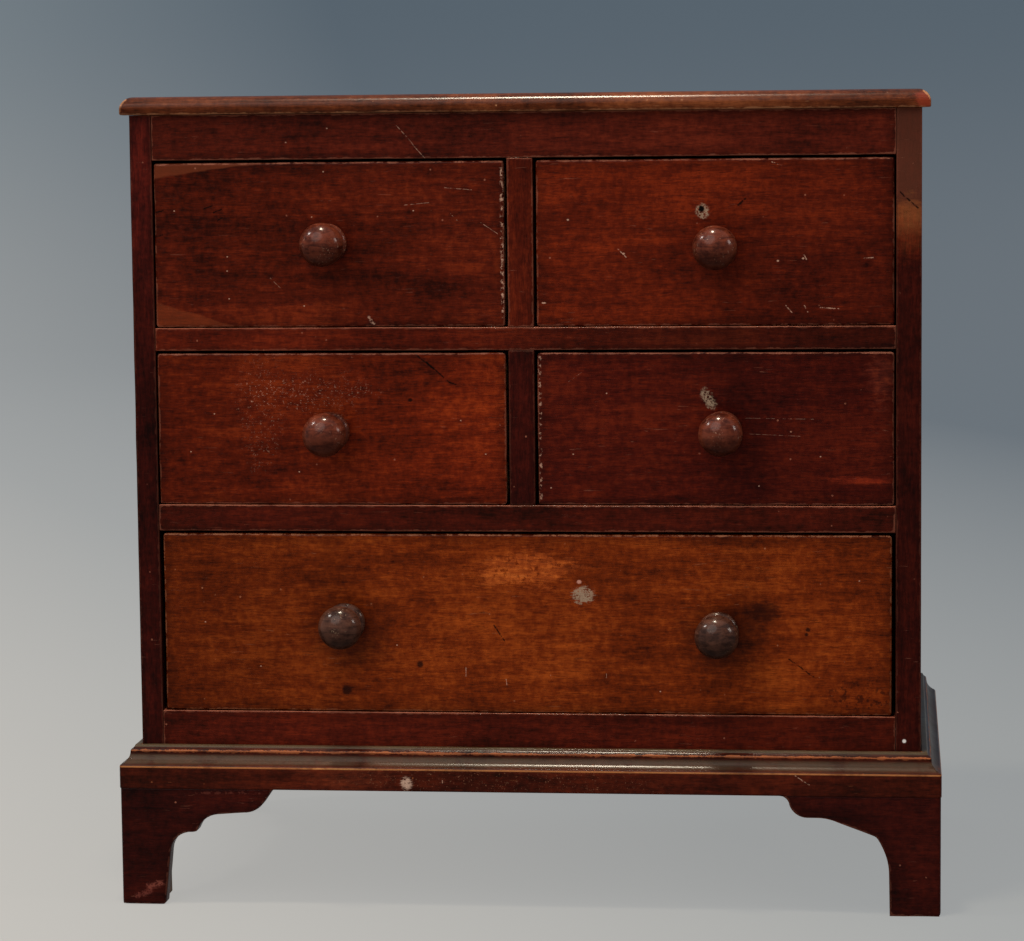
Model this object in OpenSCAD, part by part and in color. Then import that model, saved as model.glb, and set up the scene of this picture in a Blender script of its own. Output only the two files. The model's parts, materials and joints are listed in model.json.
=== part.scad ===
// Miniature mahogany chest: two short drawers over two over one long drawer, on bracket feet.
// Millimetres, +Z up, front faces -Y, origin on the floor at the middle of the whole object.

/* [Case] */
// Width of the case across its two sides
case_w = 350; // [320:1:400]
// Depth of the case from its front edges to its back
case_d = 212; // [150:1:240]
// Thickness of the left side board
left_side_t = 9.8; // [8:0.1:12]
// Thickness of the right side board
right_side_t = 11.1; // [8:0.1:12]
// Thickness of the two back boards
back_t = 6; // [4:0.5:8]
// Depth of each front rail and muntin
rail_d = 22; // [16:1:40]

/* [Heights] */
// Height of the bracket feet
foot_h = 53.4; // [48:0.2:60]
// Height of the plinth moulding
plinth_h = 18.8; // [17:0.2:24]
// Height of the bottom rail that shows above the plinth
bottom_rail_h = 15.5; // [10:0.5:20]
// Opening height of the long bottom drawer
bottom_row_h = 81.6; // [60:0.2:100]
// Height of the rail over the long drawer
lower_rail_h = 11.9; // [9:0.1:15]
// Opening height of the two middle drawers
middle_row_h = 69; // [55:0.2:90]
// Height of the rail between the middle and top drawers
upper_rail_h = 10.3; // [9:0.1:15]
// Opening height of the two top drawers
top_row_h = 74.4; // [55:0.2:90]
// Height of the plain rail under the top
top_rail_h = 20.2; // [14:0.2:30]
// Width of the upright muntins between the drawers
muntin_w = 11.5; // [9:0.5:16]

/* [Top] */
// Thickness of the top board
top_t = 8; // [7:0.5:12]
// Overhang of the top at the front and the two ends
top_overhang = 3.8; // [2:0.2:8]
// Height of the square nose below the rounded top edge
top_nose = 2.4; // [1.5:0.1:4]

/* [Plinth and feet] */
// How far the plinth stands out from the case
plinth_out = 9.1; // [8:0.1:10.5]
// How far the feet stand back from the fascia
foot_inset = 0.3; // [0:0.1:0.6]
// Height of the flat fascia at the bottom of the plinth
fascia_h = 9.8; // [8:0.2:10]
// Thickness of the foot brackets
bracket_t = 9; // [8.5:0.5:11]
// Width at the floor of the right front foot
leg_w = 22.4; // [19:0.2:22.6]
// Width at the floor of the left front foot and the side feet
ogee_leg_w = 19.8; // [19:0.2:22.2]
// Width at the floor of the boards behind the rear feet
rear_leg_w = 12; // [9:0.5:20]
// Side of the square glue block in each foot
block_w = 10; // [8:1:12]

/* [Drawers] */
// Thickness of the drawer fronts
front_t = 10; // [9:0.5:12]
// Thickness of the drawer sides and backs
lining_t = 6; // [5:0.5:7]
// Thickness of the drawer bottoms
floor_t = 4; // [3:0.5:4]
// How far the drawer fronts sit behind the case front
front_recess = 0.4; // [0:0.1:1.5]
// Gap above each drawer front
gap_above = 1.1; // [0.5:0.1:2]
// Running clearance under each drawer
gap_below = 0.2; // [0.1:0.1:0.4]
// Gap between a short drawer and the case side
gap_side = 0.6; // [0.3:0.1:1.5]
// Gap between a short drawer and the muntin
gap_muntin = 1.2; // [0.4:0.1:1.5]
// Gap at each end of the long drawer
gap_long = 1.6; // [0.5:0.1:2.5]
// Gap between the drawer backs and the case back
gap_behind = 3; // [2:0.5:8]

/* [Knobs] */
// Radius of the knob heads on the four short drawers
knob_r = 9.7; // [8:0.1:11]
// Radius of the knob feet on the four short drawers
knob_foot_r = 8.6; // [7:0.1:10]
// Radius of the knob heads on the long drawer
long_knob_r = 9.2; // [8:0.1:11]
// Radius of the knob feet on the long drawer
long_knob_foot_r = 9.7; // [8:0.1:10]
// How far the knobs stand out from the drawer fronts
knob_reach = 23.4; // [22:0.1:26]
// Radius of the knob tenons
tenon_r = 4; // [3:0.5:5]

/* [Hidden] */
$fn = 48;

// Heights of the openings and rails, from the floor
plinth_top = foot_h + plinth_h;
bottom_row_z = plinth_top + bottom_rail_h;
lower_rail_z = bottom_row_z + bottom_row_h;
middle_row_z = lower_rail_z + lower_rail_h;
upper_rail_z = middle_row_z + middle_row_h;
top_row_z = upper_rail_z + upper_rail_h;
top_rail_z = top_row_z + top_row_h;
case_top = top_rail_z + top_rail_h;

// The origin is midway between the knobs' front and the case back
front_y = (knob_reach - front_recess - case_d) / 2;
back_y = front_y + case_d;
inner_back_y = back_y - back_t;
left_x = -case_w / 2 + left_side_t;
right_x = case_w / 2 - right_side_t;
muntin_x = (left_x + right_x - muntin_w) / 2;
runner_w = 12;
centre_runner_w = 26;
runner_y = front_y + rail_d;
runner_d = inner_back_y - runner_y;

// Small joinery sizes
rebate_w = 4.5;
stub = 4;
stub_inset = 2;
bottom_board_t = 8;
bottom_rail_d = 12;
guide_h = 16;
kicker_h = 14;
glue_gap = 0.05;
lap = 3;
groove_z = 4;
groove_d = 2.5;
tail_count = 3;
tail_narrow = 0.5;
tail_wide = 0.7;
nail_r = 0.75;
nail_l = 14;
nail_head_r = 1.7;
nail_head_t = 0.8;
block_lift = 2;
back_split = 205;

// The lines where the outer faces of the plinth and of the feet stand
plinth_x = case_w / 2 + plinth_out;
plinth_y = front_y - plinth_out;
foot_x = plinth_x - foot_inset;
foot_y = plinth_y + foot_inset;
bracket_l = 72;

// Drawers: name, left end, bottom, width, height of the front, knob places, knob sizes
short_w = muntin_x - left_x - gap_side - gap_muntin;
short_left_x = left_x + gap_side;
short_right_x = muntin_x + muntin_w + gap_muntin;
long_w = right_x - left_x - 2 * gap_long;
top_h = top_row_h - gap_above - gap_below;
middle_h = middle_row_h - gap_above - gap_below;
bottom_h = bottom_row_h - gap_above - gap_below;
drawer_d = case_d - back_t - front_recess - gap_behind;
short_size = [knob_r, knob_foot_r];
long_size = [long_knob_r, long_knob_foot_r];
SHORT = [
    ["top_left", short_left_x, top_row_z, top_h, [-0.7, 0.5]],
    ["top_right", short_right_x, top_row_z, top_h, [0.9, -1.8]],
    ["middle_left", short_left_x, middle_row_z, middle_h, [-0.7, -1.3]],
    ["middle_right", short_right_x, middle_row_z, middle_h, [3.1, -1]],
];
LONG = ["bottom", left_x + gap_long, bottom_row_z, bottom_h];
LONG_KNOBS = [["left", [-80.5, 0]], ["right", [86.5, -3]]];

// Points of an arc about [cx, cz] from angle a0 to a1, in the given number of steps
function arc(cx, cz, r, a0, a1, steps = 8) =
    [for (i = [0:steps]) let (a = a0 + (a1 - a0) * i / steps) [cx + r * cos(a), cz + r * sin(a)]];

// A box from its low corner to its high corner
module block(low, high) {
    translate(low) cube(high - low);
}

// ---- Case ----

// Edge profile of the top board: square nose below, quarter round above, the board behind it
module top_edge(length) {
    edge_r = top_t - top_nose;
    difference() {
        square([length, top_t]);
        difference() {
            translate([-1, top_nose]) square([edge_r + 1, edge_r + 1]);
            translate([edge_r, top_nose]) circle(edge_r);
        }
    }
}

module top_board() color("#5a1d10") {
    w = case_w + 2 * top_overhang;
    d = case_d + top_overhang;
    translate([-w / 2, front_y - top_overhang, case_top]) intersection() {
        rotate([90, 0, 90]) linear_extrude(w) top_edge(d);
        translate([0, d, 0]) rotate([90, 0, 0]) linear_extrude(d) top_edge(w);
        translate([w, d, 0]) mirror([1, 0, 0]) rotate([90, 0, 0]) linear_extrude(d) top_edge(w);
    }
}

// Stub tenons of the two middle rails, which fill the mortises in both sides
module rail_stubs(z, h) {
    for (x = [left_x - stub, right_x])
        block([x, front_y + stub, z + stub_inset], [x + stub, front_y + rail_d - stub, z + h - stub_inset]);
}

// Places of the nails that hold the back boards to the sides
module nail_places() {
    for (x = [left_x - rebate_w / 2, right_x + rebate_w / 2], z = [foot_h + 12, 130, 190, 220, 280, case_top - 12])
        translate([x, back_y, z]) rotate([90, 0, 0]) children();
}

module side(x0, x1, inner) color("#4a160e") difference() {
    block([x0, front_y, foot_h], [x1, back_y, case_top]);
    block([inner - rebate_w, inner_back_y, foot_h - 1], [inner + rebate_w, back_y + 1, case_top + 1]);
    rail_stubs(lower_rail_z, lower_rail_h);
    rail_stubs(upper_rail_z, upper_rail_h);
    nail_places() cylinder(r = nail_r + glue_gap, h = nail_l + 1);
}

module left_side() side(-case_w / 2, left_x, left_x);
module right_side() side(right_x, case_w / 2, right_x);

module bottom_board() color("#8a5a34")
    block([left_x, front_y + bottom_rail_d, bottom_row_z - bottom_board_t],
          [right_x, inner_back_y, bottom_row_z]);

module back_board(z0, z1) color("#7c5634") difference() {
    block([left_x - rebate_w, inner_back_y, z0], [right_x + rebate_w, back_y, z1]);
    nail_places() translate([0, 0, -1]) cylinder(r = nail_r + glue_gap, h = nail_l + 2);
}

module back_board_upper() back_board(back_split, case_top);
module back_board_lower() back_board(foot_h, back_split);

module back_nails() color("#3a3633") nail_places() {
    cylinder(r = nail_r, h = nail_l);
    translate([0, 0, -nail_head_t]) cylinder(r = nail_head_r, h = nail_head_t);
}

module rail(z, h, depth) color("#541a0f") block([left_x, front_y, z], [right_x, front_y + depth, z + h]);

module top_rail() rail(top_rail_z, top_rail_h, rail_d);
module bottom_rail() rail(foot_h, plinth_h + bottom_rail_h, bottom_rail_d);
module upper_rail() {
    rail(upper_rail_z, upper_rail_h, rail_d);
    color("#541a0f") rail_stubs(upper_rail_z, upper_rail_h);
}
module lower_rail() {
    rail(lower_rail_z, lower_rail_h, rail_d);
    color("#541a0f") rail_stubs(lower_rail_z, lower_rail_h);
}

module muntin(z, h) color("#4a170e")
    block([muntin_x, front_y, z], [muntin_x + muntin_w, front_y + rail_d, z + h]);
module upper_muntin() muntin(top_row_z, top_row_h);
module lower_muntin() muntin(middle_row_z, middle_row_h);

// ---- What the drawers run on ----

// A strip from the rails to the back, between x0 and x1
module strip(x0, x1, z, h) block([x0, runner_y, z], [x1, inner_back_y, z + h]);

module side_runners() color("#8a5a34") for (row = [[lower_rail_z, lower_rail_h], [upper_rail_z, upper_rail_h]]) {
    strip(left_x, left_x + runner_w, row[0], row[1]);
    strip(right_x - runner_w, right_x, row[0], row[1]);
}

module centre_strip(w, z, h) {
    middle_x = muntin_x + muntin_w / 2;
    strip(middle_x - w / 2, middle_x + w / 2, z, h);
}

module centre_runners() color("#8a5a34") {
    centre_strip(centre_runner_w, lower_rail_z, lower_rail_h);
    centre_strip(centre_runner_w, upper_rail_z, upper_rail_h);
}

module drawer_guides() color("#8a5a34") {
    centre_strip(muntin_w, middle_row_z, guide_h);
    centre_strip(muntin_w, top_row_z, guide_h);
}

// Strips over the top drawers that stop them tipping when they are pulled out
module kickers() color("#8a5a34") {
    strip(left_x, left_x + runner_w, top_rail_z, kicker_h);
    strip(right_x - runner_w, right_x, top_rail_z, kicker_h);
    centre_strip(centre_runner_w, top_rail_z, kicker_h);
}

// ---- Plinth and feet ----

// Plinth profile, x out from the case and y up: fascia, large cove, arris, small cove
module plinth_profile() {
    cove_out = 5;
    cove_z = fascia_h + 6;
    polygon(concat(
        [[0, 0], [plinth_out, 0], [plinth_out, fascia_h]],
        arc(plinth_out + 1.2, cove_z + 0.2, plinth_out - cove_out + 1.6, -108, -178),
        [[cove_out - 0.2, cove_z + 0.8]],
        arc(cove_out, plinth_h + 0.6, 2.4, -115, -165, 5),
        [[0, plinth_h]]
    ));
}

// One straight length of plinth along +X, its mitre at the origin end and, if asked, at the far end
module plinth_length(length, far_mitre) {
    reach = plinth_out;
    intersection() {
        translate([0, reach, foot_h]) rotate([90, 0, 90]) linear_extrude(length)
            mirror([1, 0]) plinth_profile();
        translate([0, 0, foot_h - 1]) linear_extrude(plinth_h + 2)
            polygon([[0, 0], [length, 0], [far_mitre ? length - reach : length, reach], [reach, reach]]);
    }
}

module plinth_front() color("#46150c") translate([-plinth_x, plinth_y, 0]) plinth_length(2 * plinth_x, true);
module plinth_left() color("#46150c") translate([-plinth_x, plinth_y, 0]) mirror([1, -1, 0])
    plinth_length(case_d + plinth_out, false);
module plinth_right() mirror([1, 0, 0]) plinth_left();

// Bracket outlines, x along the wall from the foot's corner and y up from the floor.
// Double ogee: a short scoop, a cusp, a long scoop and a swelling tip.
function ogee_outline() = concat(
    [[0, 0], [ogee_leg_w, 0]],
    arc(32, 23.9, 9.5, 176, 86),
    arc(45, 31.2, 10.4, 166, 95),
    arc(56.5, 53.5, 11, -92, -30),
    [[69, foot_h - 1.1], [70.4, foot_h], [0, foot_h]]
);
// Plainer cut: a long scoop, a straight rise, a flat and a swelling tip.
function sloped_outline() = concat(
    [[0, 0], [leg_w, 0]],
    arc(52.1, 18, 29.4, 180, 146),
    arc(30.5, 32.6, 3.3, 146, 111),
    arc(53.7, 23.2, 20.3, 111, 90),
    arc(58.5, 52, 8.5, -90, -18),
    arc(71.3, 48.5, 4.9, 162, 95),
    [[0, foot_h]]
);
// Rear cut, hidden against a wall: a narrow leg and a plain slope.
function plain_outline() =
    [[0, 0], [rear_leg_w, 0], [rear_leg_w + 3, foot_h / 3], [bracket_l - 12, foot_h], [0, foot_h]];

// A bracket along +X with its outer corner at the origin, mitred at that corner or cut square
module bracket(outline, mitred) color("#340f0a") intersection() {
    translate([0, bracket_t, 0]) rotate([90, 0, 0]) linear_extrude(bracket_t) polygon(outline);
    linear_extrude(foot_h)
        polygon([[0, 0], [bracket_l, 0], [bracket_l, bracket_t], [mitred ? bracket_t : 0, bracket_t]]);
}

module front_left_bracket() translate([-foot_x, foot_y, 0]) bracket(ogee_outline(), true);
module front_right_bracket() mirror([1, 0, 0]) translate([-foot_x, foot_y, 0]) bracket(sloped_outline(), true);
module left_front_bracket() translate([-foot_x, foot_y, 0]) mirror([1, -1, 0]) bracket(ogee_outline(), true);
module right_front_bracket() mirror([1, 0, 0]) left_front_bracket();
module left_rear_bracket() translate([-foot_x, back_y, 0]) rotate([0, 0, -90]) bracket(ogee_outline(), false);
module right_rear_bracket() mirror([1, 0, 0]) left_rear_bracket();
module rear_left_bracket() translate([-foot_x + bracket_t, back_y - bracket_t, 0]) bracket(plain_outline(), false);
module rear_right_bracket() mirror([1, 0, 0]) rear_left_bracket();

module foot_blocks() color("#8a5a34") for (side = [0, 1]) mirror([side, 0, 0]) {
    x = -foot_x + bracket_t;
    for (y = [foot_y + bracket_t, back_y - bracket_t - block_w])
        block([x, y, block_lift], [x + block_w, y + block_w, foot_h]);
}

// ---- Drawers ----
// Each drawer piece is drawn with x from the drawer's left end, y back from the face of its
// front and z up from its bottom edge, then set in its opening.

module in_opening(drawer) {
    translate([drawer[1], front_y + front_recess, drawer[2] + gap_below]) children();
}

// Side outline in the y-z plane: dovetails at both ends, wider at the tips
module side_outline(h) {
    pitch = h / tail_count;
    translate([front_t, 0]) square([drawer_d - front_t - lining_t, h]);
    for (i = [0:tail_count - 1]) translate([0, (i + 0.5) * pitch]) {
        translate([front_t, 0]) rotate(180) tail(front_t - lap, pitch);
        translate([drawer_d - lining_t, 0]) tail(lining_t, pitch);
    }
}

// One tail along +X, its root let back into the board
module tail(length, pitch) {
    root = tail_narrow * pitch / 2;
    tip = tail_wide * pitch / 2;
    polygon([[-1, -root], [0, -root], [length, -tip], [length, tip], [0, root], [-1, root]]);
}

module side_solid(x, h) translate([x, 0, 0]) rotate([90, 0, 90]) linear_extrude(lining_t) side_outline(h);

// The bottom board, let into the sides and the front and passed under the back
module floor_solid(w) block([lining_t - groove_d, front_t - groove_d, groove_z],
                            [w - lining_t + groove_d, drawer_d, groove_z + floor_t]);

module drawer_front(drawer, w, knobs, c) color(c) in_opening(drawer) difference() {
    cube([w, front_t, drawer[3]]);
    for (x = [0, w - lining_t]) side_solid(x, drawer[3] - 1);
    floor_solid(w);
    for (k = knobs) translate([w / 2 + k[0], front_t + 1, drawer[3] / 2 + k[1]]) rotate([90, 0, 0])
        cylinder(r = tenon_r + glue_gap, h = front_t + 2);
}

module drawer_side(drawer, w, x) color("#9a7448") in_opening(drawer) difference() {
    side_solid(x, drawer[3] - 1);
    floor_solid(w);
}

module drawer_back(drawer, w) color("#9a7448") in_opening(drawer) difference() {
    block([0, drawer_d - lining_t, groove_z + floor_t], [w, drawer_d, drawer[3] - 3]);
    for (x = [0, w - lining_t]) side_solid(x, drawer[3] - 1);
}

module drawer_floor(drawer, w) color("#a98354") in_opening(drawer) floor_solid(w);

// Turned knob: foot, waist, ball head and a plain tenon through the drawer front
module knob(size) {
    head_r = size[0];
    foot_r = size[1];
    foot_t = 3;
    waist_r = 5.2;
    rotate([90, 0, 0]) {
        rotate_extrude() intersection() {
            union() {
                square([foot_r - foot_t / 2, foot_t]);
                translate([foot_r - foot_t / 2, foot_t / 2]) circle(foot_t / 2);
                square([waist_r, knob_reach / 2]);
                translate([0, knob_reach - head_r]) circle(head_r);
            }
            square([head_r + foot_r, knob_reach]);
        }
        translate([0, 0, -front_t]) cylinder(r = tenon_r, h = front_t);
    }
}

module drawer_knob(drawer, w, place, size, c) color(c) in_opening(drawer)
    translate([w / 2 + place[0], 0, drawer[3] / 2 + place[1]]) knob(size);

// ---- Assembly ----

top_board();
left_side();
right_side();
bottom_board();
back_board_upper();
back_board_lower();
top_rail();
upper_rail();
lower_rail();
bottom_rail();
upper_muntin();
lower_muntin();
side_runners();
centre_runners();
drawer_guides();
kickers();
plinth_front();
plinth_left();
plinth_right();
front_left_bracket();
front_right_bracket();
left_front_bracket();
right_front_bracket();
left_rear_bracket();
right_rear_bracket();
rear_left_bracket();
rear_right_bracket();
foot_blocks();
back_nails();

// The four short drawers
for (d = SHORT) {
    name = str(d[0], "_drawer_");
    drawer_front(d, short_w, [d[4]], "#6e2411");
    drawer_side(d, short_w, 0);
    drawer_side(d, short_w, short_w - lining_t);
    drawer_back(d, short_w);
    drawer_floor(d, short_w);
    drawer_knob(d, short_w, d[4], short_size, "#47241c");
}

// The long drawer
drawer_front(LONG, long_w, [for (k = LONG_KNOBS) k[1]], "#7e3514");  // bottom_drawer_front
drawer_side(LONG, long_w, 0);  // bottom_drawer_left_side
drawer_side(LONG, long_w, long_w - lining_t);  // bottom_drawer_right_side
drawer_back(LONG, long_w);  // bottom_drawer_back
drawer_floor(LONG, long_w);  // bottom_drawer_floor
for (k = LONG_KNOBS) {
    drawer_knob(LONG, long_w, k[1], long_size, "#2b1a14");
}
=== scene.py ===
"""Looks of the miniature mahogany chest: worn boards, turned knobs, stage, lights and camera."""
import json
import math
import bmesh
import bpy
import numpy as np
from mathutils import Matrix, Vector, noise

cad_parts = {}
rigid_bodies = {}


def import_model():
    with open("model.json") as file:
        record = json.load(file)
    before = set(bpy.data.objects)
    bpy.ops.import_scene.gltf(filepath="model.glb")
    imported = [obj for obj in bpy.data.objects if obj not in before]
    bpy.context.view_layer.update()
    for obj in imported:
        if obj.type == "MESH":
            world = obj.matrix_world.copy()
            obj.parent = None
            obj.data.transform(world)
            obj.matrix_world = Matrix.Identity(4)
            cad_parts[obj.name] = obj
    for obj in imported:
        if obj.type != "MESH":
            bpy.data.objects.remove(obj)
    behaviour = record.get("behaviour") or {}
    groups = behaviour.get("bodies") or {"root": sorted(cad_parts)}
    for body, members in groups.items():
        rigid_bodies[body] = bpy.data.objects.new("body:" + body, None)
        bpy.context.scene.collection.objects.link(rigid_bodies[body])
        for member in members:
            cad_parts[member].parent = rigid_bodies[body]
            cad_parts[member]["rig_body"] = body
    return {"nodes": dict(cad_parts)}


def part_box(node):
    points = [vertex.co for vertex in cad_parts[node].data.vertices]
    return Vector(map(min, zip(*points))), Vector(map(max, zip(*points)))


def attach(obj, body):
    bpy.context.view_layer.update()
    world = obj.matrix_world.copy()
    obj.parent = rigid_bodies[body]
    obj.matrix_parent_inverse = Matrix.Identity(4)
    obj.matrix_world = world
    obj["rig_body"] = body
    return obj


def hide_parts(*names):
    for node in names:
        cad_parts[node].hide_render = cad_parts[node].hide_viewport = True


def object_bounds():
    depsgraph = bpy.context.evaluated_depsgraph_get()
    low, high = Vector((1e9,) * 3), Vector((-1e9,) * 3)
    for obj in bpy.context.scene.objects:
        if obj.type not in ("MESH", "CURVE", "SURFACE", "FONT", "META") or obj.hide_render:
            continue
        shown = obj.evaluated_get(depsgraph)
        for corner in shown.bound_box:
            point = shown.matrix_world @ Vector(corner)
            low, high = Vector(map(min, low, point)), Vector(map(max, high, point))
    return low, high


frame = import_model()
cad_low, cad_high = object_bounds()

MM = 0.001
NODES = frame["nodes"]
DRAWERS = ["top_left", "top_right", "middle_left", "middle_right", "bottom"]

# The upright plane of the case front, and the middle of the front
CASE_LOW, CASE_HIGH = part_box("left_side")
FRONT_Y = CASE_LOW.y
FRONT_MIDDLE = Vector((0, FRONT_Y, (cad_low.z + cad_high.z) / 2))


# ---- Camera ----

CAMERA_DISTANCE = 1.5
CAMERA_YAW = math.radians(6.43)
CAMERA_PITCH = math.radians(6.03)
CAMERA_ROLL = math.radians(-0.60)
CAMERA_LENS = 118.9
CAMERA_AIM = FRONT_MIDDLE + Vector((-5.3, 0, 15.2)) * MM


def make_camera():
    """A long lens, a little above and to the right of the chest, held almost level."""
    ahead = Vector((-math.sin(CAMERA_YAW) * math.cos(CAMERA_PITCH),
                    math.cos(CAMERA_YAW) * math.cos(CAMERA_PITCH),
                    -math.sin(CAMERA_PITCH)))
    level = ahead.cross(Vector((0, 0, 1))).normalized()
    upright = level.cross(ahead)
    right = level * math.cos(CAMERA_ROLL) + upright * math.sin(CAMERA_ROLL)
    up = upright * math.cos(CAMERA_ROLL) - level * math.sin(CAMERA_ROLL)
    data = bpy.data.cameras.new("camera")
    data.sensor_width = 36
    data.lens = CAMERA_LENS
    camera = bpy.data.objects.new("camera", data)
    turn = Matrix((right, up, -ahead)).transposed().to_4x4()
    camera.matrix_world = Matrix.Translation(CAMERA_AIM - ahead * CAMERA_DISTANCE) @ turn
    bpy.context.collection.objects.link(camera)
    bpy.context.scene.camera = camera


# ---- Meshes ----

# Edges that bend by less than SHARP are not arrises, those that bend by more than MITRE are
# mitres, and shading breaks where faces meet at more than CRISP
SHARP = math.radians(38)
MITRE = math.radians(100)
CRISP = math.radians(50)

# In millimetres: cuts near a board's ends, how far wear reaches from an arris, how far from flat
# old faces are, and the distance beyond which the arris no longer matters
END_CUTS = (0.7, 1.6, 3.2, 6, 10)
WEAR_REACH = 2.2
UNFLAT = 0.03
UNFLAT_FROM = 4
ARRIS_REACH = 20


def arrises_of(bm, shortest, joints):
    """The outward edges that hands can reach: not the rims of holes, nor mitres, nor glued joints."""
    found = []
    for edge in bm.edges:
        if len(edge.link_faces) != 2 or not edge.is_convex or edge.calc_length() < shortest * MM:
            continue
        at_joint = any(all(abs(v.co.z - z) < 1e-4 for v in edge.verts) for z in joints)
        if SHARP < edge.calc_face_angle() < MITRE and not at_joint:
            found.append(edge)
    return found


def slice_places(low, high, spacing):
    """Cuts across one axis of a board: close together near its two ends, then evenly spaced."""
    length = high - low
    near = [d * MM for d in END_CUTS if d * MM < length / 2]
    count = round(length / spacing)
    middle = [low + length * i / count for i in range(1, count)]
    clear = [p for p in middle if near and low + near[-1] < p < high - near[-1]]
    return sorted([low + d for d in near] + [high - d for d in near] + clear)


def slice_mesh(bm, low, high, spacing):
    """Cuts the whole mesh into a grid, so that it can be bent and worn."""
    for axis in range(3):
        normal = Vector((0, 0, 0))
        normal[axis] = 1
        for place in slice_places(low[axis], high[axis], spacing[axis]):
            geometry = bm.verts[:] + bm.edges[:] + bm.faces[:]
            bmesh.ops.bisect_plane(bm, geom=geometry, dist=1e-6, plane_co=normal * place, plane_no=normal)


def distance_to_segments(points, starts, ends):
    """For each point, the distance to the nearest of some straight segments."""
    nearest = np.full(len(points), 1.0)
    for a, b in zip(starts, ends):
        along = b - a
        t = np.clip((points - a) @ along / (along @ along), 0, 1)
        nearest = np.minimum(nearest, np.linalg.norm(points - a - t[:, None] * along, axis=1))
    return nearest


def smooth_noise(points, size, seed):
    """Smooth noise from about -1 to 1, with features of the given size in metres."""
    shift = Vector((seed * 7.31, seed * 3.17, seed * 5.73))
    return np.array([noise.noise(Vector(p) / size + shift) for p in points])


def round_corners(points, low, high, axes, radius, corners):
    """Rubs the corners of a box's outline, seen along the third axis, to a radius."""
    for side in corners:
        corner = [(low if end < 0 else high)[axis] for axis, end in zip(axes, side)]
        inner = np.array(corner) - np.array(side) * radius
        beyond = (points[:, axes] - inner) * side
        length = np.linalg.norm(np.maximum(beyond, 0), axis=1)
        reached = (beyond > 0).all(axis=1) & (length > radius)
        shrunk = inner + beyond * side * (radius / np.maximum(length, 1e-9))[:, None]
        points[np.ix_(reached, axes)] = shrunk[reached]


def put_attribute(mesh, name, kind, values):
    layer = mesh.attributes.new(name, kind, "POINT")
    key = "vector" if kind == "FLOAT_VECTOR" else "value"
    layer.data.foreach_set(key, np.asarray(values, np.float32).ravel())


def grain_coordinates(points, grain, seed):
    """Along the grain, across it and through the board; each piece starts at a place of its own."""
    order = {"x": (0, 2, 1), "y": (1, 2, 0), "z": (2, 0, 1)}[grain]
    start = np.array([0.37, 0.53, 0.71]) * (seed + 1)
    return points[:, order] + start


def finish_piece(name, mesh, material, node):
    """Puts a finished mesh in the place of a CAD node, on the node's body."""
    piece = bpy.data.objects.new(name, mesh)
    bpy.context.collection.objects.link(piece)
    mesh.materials.clear()
    mesh.materials.append(material)
    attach(piece, NODES[node]["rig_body"])
    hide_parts(node)
    return piece


def worn_board(node, material, grain, radius, spacing=(30, 30, 30), wear=0.35, seed=0,
               shortest=0.0, joint=None, corners=None):
    """A CAD board with rounded, unevenly rubbed edges and a face that is not quite flat.

    Sizes are in millimetres. joint is "low", "high" or "both" where those edges meet the next
    piece and stay crisp. corners is (axes, radius, which corners) for an outline whose corners
    are rubbed."""
    bm = bmesh.new()
    bm.from_mesh(NODES[node].data)
    bmesh.ops.remove_doubles(bm, verts=bm.verts, dist=1e-5)
    bmesh.ops.dissolve_limit(bm, angle_limit=math.radians(0.5), verts=bm.verts, edges=bm.edges)
    low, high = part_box(node)
    joints = {"low": [low.z], "high": [high.z], "both": [low.z, high.z], None: []}[joint]
    arrises = arrises_of(bm, shortest, joints)
    starts = [np.array(e.verts[0].co) for e in arrises]
    ends = [np.array(e.verts[1].co) for e in arrises]
    bmesh.ops.bevel(bm, geom=arrises, offset=radius * MM, segments=3, profile=0.5,
                    affect="EDGES", clamp_overlap=True)
    slice_mesh(bm, low, high, [s * MM for s in spacing])
    bm.normal_update()
    points = np.array([v.co for v in bm.verts])
    normals = np.array([v.normal for v in bm.verts])
    distance = distance_to_segments(points, starts, ends)
    rub = np.clip(1 - distance / (WEAR_REACH * MM), 0, 1) ** 2
    rub = rub * np.clip(0.45 + 1.1 * smooth_noise(points, 0.013, seed), 0, 1)
    unflat = UNFLAT * np.clip(distance / (UNFLAT_FROM * MM), 0, 1) * smooth_noise(points, 0.045, seed + 3)
    moved = points - normals * (wear * rub + np.abs(unflat))[:, None] * MM
    if corners:
        axes, corner_radius, which = corners
        round_corners(moved, low, high, list(axes), corner_radius * MM, which)
    for vert, place in zip(bm.verts, moved):
        vert.co = place
    mesh = bpy.data.meshes.new(node + "_wood")
    bm.to_mesh(mesh)
    bm.free()
    mesh.shade_smooth()
    mesh.set_sharp_from_angle(angle=CRISP)
    put_attribute(mesh, "arris", "FLOAT", np.minimum(distance, ARRIS_REACH * MM))
    put_attribute(mesh, "grain", "FLOAT_VECTOR", grain_coordinates(points, grain, seed))
    board = finish_piece(node + "_wood", mesh, material, node)
    board.modifiers.new("flat_faces", "WEIGHTED_NORMAL").keep_sharp = True
    return board


# ---- Shader helpers ----

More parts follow.
